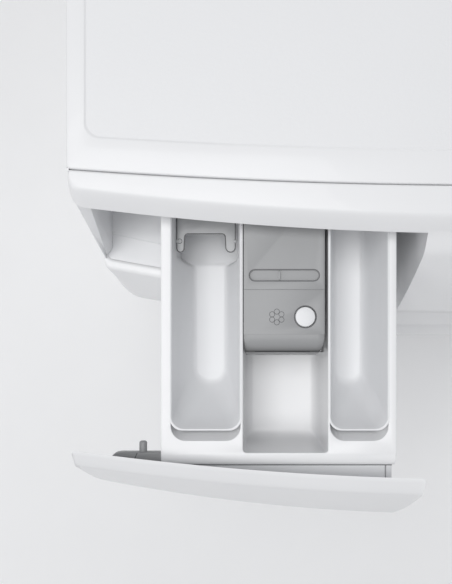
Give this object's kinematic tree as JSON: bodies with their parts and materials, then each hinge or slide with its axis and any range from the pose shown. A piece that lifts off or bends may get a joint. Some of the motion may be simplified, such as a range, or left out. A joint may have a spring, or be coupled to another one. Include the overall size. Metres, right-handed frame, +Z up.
{
  "type": "front load washing machine",
  "caption": "Front-loading clothes washer with a round glass door, sloping bowed console, pulled-out detergent drawer with inserts, and suspended drum.",
  "frame": {"origin": "on the floor under the middle of the whole machine with its drawer pulled out", "axes": "+Z up, -Y towards the door and drawer, +X to the right seen from the front"},
  "size_m": [0.686, 0.9524, 0.965],
  "materials": {
    "white_enamel": "glossy baked white enamel",
    "white_plastic": "satin white moulded plastic",
    "textured_top": "white enamel with a fine orange-peel texture",
    "insert_plastic": "pale moulded plastic",
    "grey_plastic": "mid grey satin plastic",
    "pale_grey_plastic": "light grey moulded plastic",
    "dark_plastic": "dark moulded plastic",
    "tub_plastic": "filled polypropylene",
    "galvanised_steel": "galvanised sheet",
    "stainless_steel": "satin stainless steel",
    "chrome": "bright chrome",
    "cast_metal": "die cast aluminium",
    "concrete": "cast concrete",
    "black_steel": "black painted steel",
    "rubber": "grey rubber",
    "black_rubber": "black rubber",
    "window_glass": "clear moulded glass",
    "lens": "dark smoked lens",
    "brass": "turned brass"
  },
  "bodies": {
    "cabinet": {"base_frame": "galvanised_steel", "console": "white_plastic", "control_box": "dark_plastic", "dispenser_housing": "tub_plastic", "display_lens": "lens", "door_gasket": "rubber", "door_hinge_leaf": "chrome", "door_lock": "dark_plastic", "drain_hose": "rubber", "drain_outlet": "dark_plastic", "drain_pump": "dark_plastic", "filter_housing": "tub_plastic", "front_counterweight": "concrete", "front_panel": "white_enamel", "inlet_valves": "dark_plastic", "left_side_panel": "white_enamel", "levelling_feet": "black_rubber", "motor_stator": "dark_plastic", "panel_screws": "stainless_steel", "power_gland": "dark_plastic", "rear_access_cover": "galvanised_steel", "rear_panel": "galvanised_steel", "right_side_panel": "white_enamel", "shaft_bearings": "chrome", "shock_dampers": "dark_plastic", "sump_hose": "black_rubber", "suspension_springs": "black_steel", "toe_panel": "white_plastic", "top_braces": "galvanised_steel", "tub_front": "tub_plastic", "tub_rear": "tub_plastic", "upper_counterweight": "concrete", "worktop": "textured_top"},
    "drum": {"drum_shell": "stainless_steel", "drum_lifters": "pale_grey_plastic", "drum_spider": "cast_metal", "drum_shaft": "stainless_steel", "motor_rotor": "black_steel"},
    "door": {"door_ring": "white_plastic", "door_bowl": "window_glass", "door_inner_frame": "pale_grey_plastic", "door_handle": "chrome", "door_latch_hook": "stainless_steel", "door_hinge_knuckle": "chrome"},
    "drawer": {"drawer_box": "white_plastic", "drawer_front": "white_plastic", "drawer_stiffener": "pale_grey_plastic", "drawer_latch_bracket": "grey_plastic", "detergent_cup": "insert_plastic", "bleach_cup": "insert_plastic", "softener_siphon_cover": "grey_plastic"},
    "flap": {"detergent_flap": "pale_grey_plastic"},
    "knob": {"cycle_knob": "chrome"},
    "power_key": {"power_button": "white_plastic"},
    "start_key": {"start_button": "white_plastic"},
    "option_key_left": {"option_button_left": "pale_grey_plastic"},
    "option_key_middle": {"option_button_middle": "pale_grey_plastic"},
    "option_key_right": {"option_button_right": "pale_grey_plastic"},
    "service_door": {"filter_door": "white_plastic"},
    "service_cap": {"filter_cap": "dark_plastic"}
  },
  "joints": [
    {"name": "drawer_slide", "type": "slide", "parent": "cabinet", "child": "drawer", "axis": [0, 1, 0], "range_m": [0, 0.199]},
    {"name": "flap_pivot", "type": "hinge", "parent": "drawer", "child": "flap", "pos_m": [-0.2354, -0.2184, 0.917], "axis": [-1, 0, 0], "range_deg": [0, 75]},
    {"name": "door_hinge", "type": "hinge", "parent": "cabinet", "child": "door", "pos_m": [-0.252, -0.266, 0.505], "axis": [0, 0, -1], "range_deg": [0, 115]},
    {"name": "drum_spin", "type": "hinge", "parent": "cabinet", "child": "drum", "pos_m": [0, 0.08, 0.505], "axis": [0, 1, 0], "continuous": true},
    {"name": "knob_turn", "type": "hinge", "parent": "cabinet", "child": "knob", "pos_m": [0.03, -0.25393, 0.899], "axis": [0.0117, -0.899, 0.4377], "continuous": true},
    {"name": "power_press", "type": "slide", "parent": "cabinet", "child": "power_key", "axis": [-0.0342, 0.8985, -0.4377], "range_m": [0, 0.0025], "stiffness_N_per_m": 700, "springref_m": -0.0006},
    {"name": "start_press", "type": "slide", "parent": "cabinet", "child": "start_key", "axis": [-0.1151, 0.8917, -0.4377], "range_m": [0, 0.0025], "stiffness_N_per_m": 700, "springref_m": -0.0006},
    {"name": "option_left_press", "type": "slide", "parent": "cabinet", "child": "option_key_left", "axis": [-0.0537, 0.8975, -0.4377], "range_m": [0, 0.0025], "stiffness_N_per_m": 700, "springref_m": -0.0006},
    {"name": "option_middle_press", "type": "slide", "parent": "cabinet", "child": "option_key_middle", "axis": [-0.0739, 0.8961, -0.4377], "range_m": [0, 0.0025], "stiffness_N_per_m": 700, "springref_m": -0.0006},
    {"name": "option_right_press", "type": "slide", "parent": "cabinet", "child": "option_key_right", "axis": [-0.0941, 0.8942, -0.4377], "range_m": [0, 0.0025], "stiffness_N_per_m": 700, "springref_m": -0.0006},
    {"name": "service_door_hinge", "type": "hinge", "parent": "cabinet", "child": "service_door", "pos_m": [-0.225, -0.248, 0.07], "axis": [1, 0, 0], "range_deg": [0, 95]},
    {"name": "service_cap_turn", "type": "hinge", "parent": "cabinet", "child": "service_cap", "pos_m": [-0.225, -0.212, 0.11], "axis": [0, 1, 0], "range_deg": [0, 90]}
  ]
}
